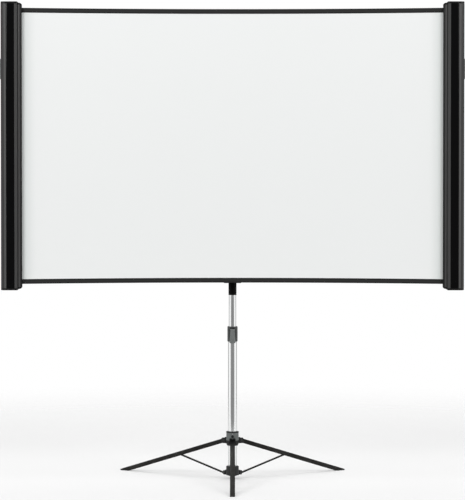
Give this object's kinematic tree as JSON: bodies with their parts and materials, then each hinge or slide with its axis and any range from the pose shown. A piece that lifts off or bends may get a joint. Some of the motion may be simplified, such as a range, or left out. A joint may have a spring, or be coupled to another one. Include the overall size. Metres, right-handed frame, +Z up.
{
  "type": "portable projection screen",
  "caption": "Portable projection screen: white sheet with black borders stretched between two roller housings on a telescopic mast with a flip lock and a folding tripod.",
  "frame": {"origin": "on the floor, under the middle of the whole object", "axes": "+Z up, +X to the right of a viewer in front of the screen, +Y away from that viewer"},
  "size_m": [1.8952, 0.8212, 1.957],
  "materials": {
    "housing": "anodised satin dark grey",
    "jamb_grey": "satin dark grey",
    "gloss_black": "gloss black",
    "cap_black": "satin black",
    "white_sheet": "matte white coating",
    "black_border": "matte black",
    "tube_bright": "bright anodised",
    "steel": "bright",
    "aluminium": "plain",
    "black_plastic": "satin black",
    "grey_plastic": "satin dark grey",
    "leg_black": "satin black",
    "rubber": "matte black"
  },
  "bodies": {
    "stand": {"lower_tube": "tube_bright", "tube_plug": "black_plastic", "lower_collar": "black_plastic", "lock_collar": "black_plastic", "lever_pin": "steel"},
    "lock_lever": {"lock_lever": "grey_plastic"},
    "strut_front": {"strut_front": "leg_black"},
    "leg_front": {"leg_front": "leg_black", "foot_front": "rubber", "strut_rivet_front": "steel"},
    "strut_right": {"strut_right": "leg_black"},
    "leg_right": {"leg_right": "leg_black", "foot_right": "rubber", "strut_rivet_right": "steel"},
    "strut_left": {"strut_left": "leg_black"},
    "leg_left": {"leg_left": "leg_black", "foot_left": "rubber", "strut_rivet_left": "steel"},
    "hub": {"hub": "grey_plastic", "hub_pin_front": "steel", "hub_pin_left": "steel", "hub_pin_right": "steel"},
    "hub_knob": {"hub_knob": "black_plastic"},
    "upper_mast": {"upper_tube": "tube_bright", "mast_head": "black_plastic", "sliding_bush": "black_plastic"},
    "screen_frame": {"centre_post": "tube_bright", "lower_block": "black_plastic", "upper_block": "black_plastic", "projection_sheet": "white_sheet", "upper_border": "black_border", "lower_border": "black_border"},
    "lower_inner_arm_right": {"lower_inner_arm_right": "aluminium"},
    "lower_outer_arm_right": {"lower_outer_arm_right": "aluminium"},
    "lower_inner_arm_left": {"lower_inner_arm_left": "aluminium"},
    "lower_outer_arm_left": {"lower_outer_arm_left": "aluminium"},
    "upper_inner_arm_right": {"upper_inner_arm_right": "aluminium"},
    "upper_outer_arm_right": {"upper_outer_arm_right": "aluminium"},
    "upper_inner_arm_left": {"upper_inner_arm_left": "aluminium"},
    "upper_outer_arm_left": {"upper_outer_arm_left": "aluminium"},
    "housing_right": {"housing_right": "housing", "front_band_right": "gloss_black", "jamb_right": "jamb_grey", "top_cap_right": "cap_black", "bottom_cap_right": "cap_black", "roller_shaft_right": "aluminium", "roller_spring_right": "steel", "side_grip_right": "cap_black"},
    "roller_right": {"roller_right": "aluminium"},
    "housing_left": {"housing_left": "housing", "front_band_left": "gloss_black", "jamb_left": "jamb_grey", "top_cap_left": "cap_black", "bottom_cap_left": "cap_black", "roller_shaft_left": "aluminium", "roller_spring_left": "steel", "side_grip_left": "cap_black"},
    "roller_left": {"roller_left": "aluminium"}
  },
  "joints": [
    {"name": "lever_flip", "type": "hinge", "parent": "stand", "child": "lock_lever", "pos_m": [0, 0.10717, 0.615], "axis": [-1, 0, 0], "range_deg": [0, 100]},
    {"name": "strut_front_fold", "type": "hinge", "parent": "stand", "child": "strut_front", "pos_m": [0, 0.09467, 0.02], "axis": [-1, 0, 0], "range_deg": [0, 70]},
    {"name": "leg_front_fold", "type": "hinge", "parent": "strut_front", "child": "leg_front", "pos_m": [0, -0.13433, 0.0885], "axis": [-1, 0, 0], "range_deg": [-140, 0]},
    {"name": "strut_right_fold", "type": "hinge", "parent": "stand", "child": "strut_right", "pos_m": [0.03118, 0.14867, 0.02], "axis": [0.5, -0.866, 0], "range_deg": [0, 70]},
    {"name": "leg_right_fold", "type": "hinge", "parent": "strut_right", "child": "leg_right", "pos_m": [0.2295, 0.26317, 0.0885], "axis": [0.5, -0.866, 0], "range_deg": [-140, 0]},
    {"name": "strut_left_fold", "type": "hinge", "parent": "stand", "child": "strut_left", "pos_m": [-0.03118, 0.14867, 0.02], "axis": [0.5, 0.866, 0], "range_deg": [0, 70]},
    {"name": "leg_left_fold", "type": "hinge", "parent": "strut_left", "child": "leg_left", "pos_m": [-0.2295, 0.26317, 0.0885], "axis": [0.5, 0.866, 0], "range_deg": [-140, 0]},
    {"name": "hub_level", "type": "hinge", "parent": "leg_front", "child": "hub", "pos_m": [0, 0.09467, 0.157], "axis": [-1, 0, 0], "range_deg": [0, 70]},
    {"name": "knob_turn", "type": "hinge", "parent": "hub", "child": "hub_knob", "pos_m": [0, 0.10487, 0.1765], "axis": [0, -1, 0], "range_deg": [0, 720]},
    {"name": "mast_slide", "type": "slide", "parent": "stand", "child": "upper_mast", "axis": [0, 0, 1], "range_m": [-0.125, 0.33]},
    {"name": "post_lift", "type": "slide", "parent": "upper_mast", "child": "screen_frame", "axis": [0, 0, 1], "range_m": [0, 0.06]},
    {"name": "lower_arm_right_fold", "type": "hinge", "parent": "screen_frame", "child": "lower_inner_arm_right", "pos_m": [0.02, 0.10637, 0.82], "axis": [0, -1, 0], "range_deg": [0, 88.2], "deforming": ["projection_sheet", "upper_border", "lower_border"]},
    {"name": "lower_elbow_right", "type": "hinge", "parent": "lower_inner_arm_right", "child": "lower_outer_arm_right", "pos_m": [0.4604, 0.09587, 0.82], "axis": [0, -1, 0], "range_deg": [-176.4, 0]},
    {"name": "lower_arm_left_fold", "type": "hinge", "parent": "screen_frame", "child": "lower_inner_arm_left", "pos_m": [-0.02, 0.10637, 0.82], "axis": [0, 1, 0], "range_deg": [0, 88.2]},
    {"name": "lower_elbow_left", "type": "hinge", "parent": "lower_inner_arm_left", "child": "lower_outer_arm_left", "pos_m": [-0.4604, 0.09587, 0.82], "axis": [0, 1, 0], "range_deg": [-176.4, 0]},
    {"name": "upper_arm_right_fold", "type": "hinge", "parent": "screen_frame", "child": "upper_inner_arm_right", "pos_m": [0.02, 0.10637, 1.912], "axis": [0, 1, 0], "range_deg": [0, 88.2]},
    {"name": "upper_elbow_right", "type": "hinge", "parent": "upper_inner_arm_right", "child": "upper_outer_arm_right", "pos_m": [0.4604, 0.09587, 1.912], "axis": [0, 1, 0], "range_deg": [-176.4, 0]},
    {"name": "upper_arm_left_fold", "type": "hinge", "parent": "screen_frame", "child": "upper_inner_arm_left", "pos_m": [-0.02, 0.10637, 1.912], "axis": [0, -1, 0], "range_deg": [0, 88.2]},
    {"name": "upper_elbow_left", "type": "hinge", "parent": "upper_inner_arm_left", "child": "upper_outer_arm_left", "pos_m": [-0.4604, 0.09587, 1.912], "axis": [0, -1, 0], "range_deg": [-176.4, 0]},
    {"name": "housing_right_upright", "type": "hinge", "parent": "lower_outer_arm_right", "child": "housing_right", "pos_m": [0.9008, 0.09587, 0.82], "axis": [0, -1, 0], "range_deg": [0, 88.2]},
    {"name": "roller_right_turn", "type": "hinge", "parent": "housing_right", "child": "roller_right", "pos_m": [0.9008, 0.06912, 1.3695], "axis": [0, 0, 1], "range_deg": [0, 2876]},
    {"name": "housing_left_upright", "type": "hinge", "parent": "lower_outer_arm_left", "child": "housing_left", "pos_m": [-0.9008, 0.09587, 0.82], "axis": [0, 1, 0], "range_deg": [0, 88.2]},
    {"name": "roller_left_turn", "type": "hinge", "parent": "housing_left", "child": "roller_left", "pos_m": [-0.9008, 0.06912, 1.3695], "axis": [0, 0, -1], "range_deg": [0, 2876]}
  ],
  "couplings": [
    {"joint": "leg_front_fold", "follows": "strut_front_fold", "ratio": -2},
    {"joint": "strut_right_fold", "follows": "strut_front_fold", "ratio": 1},
    {"joint": "leg_right_fold", "follows": "strut_front_fold", "ratio": -2},
    {"joint": "strut_left_fold", "follows": "strut_front_fold", "ratio": 1},
    {"joint": "leg_left_fold", "follows": "strut_front_fold", "ratio": -2},
    {"joint": "hub_level", "follows": "strut_front_fold", "ratio": 1},
    {"joint": "lower_elbow_right", "follows": "lower_arm_right_fold", "ratio": -2},
    {"joint": "lower_arm_left_fold", "follows": "lower_arm_right_fold", "ratio": 1},
    {"joint": "lower_elbow_left", "follows": "lower_arm_right_fold", "ratio": -2},
    {"joint": "upper_arm_right_fold", "follows": "lower_arm_right_fold", "ratio": 1},
    {"joint": "upper_elbow_right", "follows": "lower_arm_right_fold", "ratio": -2},
    {"joint": "upper_arm_left_fold", "follows": "lower_arm_right_fold", "ratio": 1},
    {"joint": "upper_elbow_left", "follows": "lower_arm_right_fold", "ratio": -2},
    {"joint": "housing_right_upright", "follows": "lower_arm_right_fold", "ratio": 1},
    {"joint": "roller_right_turn", "follows": "lower_arm_right_fold", "ratio": 32.6},
    {"joint": "housing_left_upright", "follows": "lower_arm_right_fold", "ratio": 1},
    {"joint": "roller_left_turn", "follows": "lower_arm_right_fold", "ratio": 32.6}
  ]
}
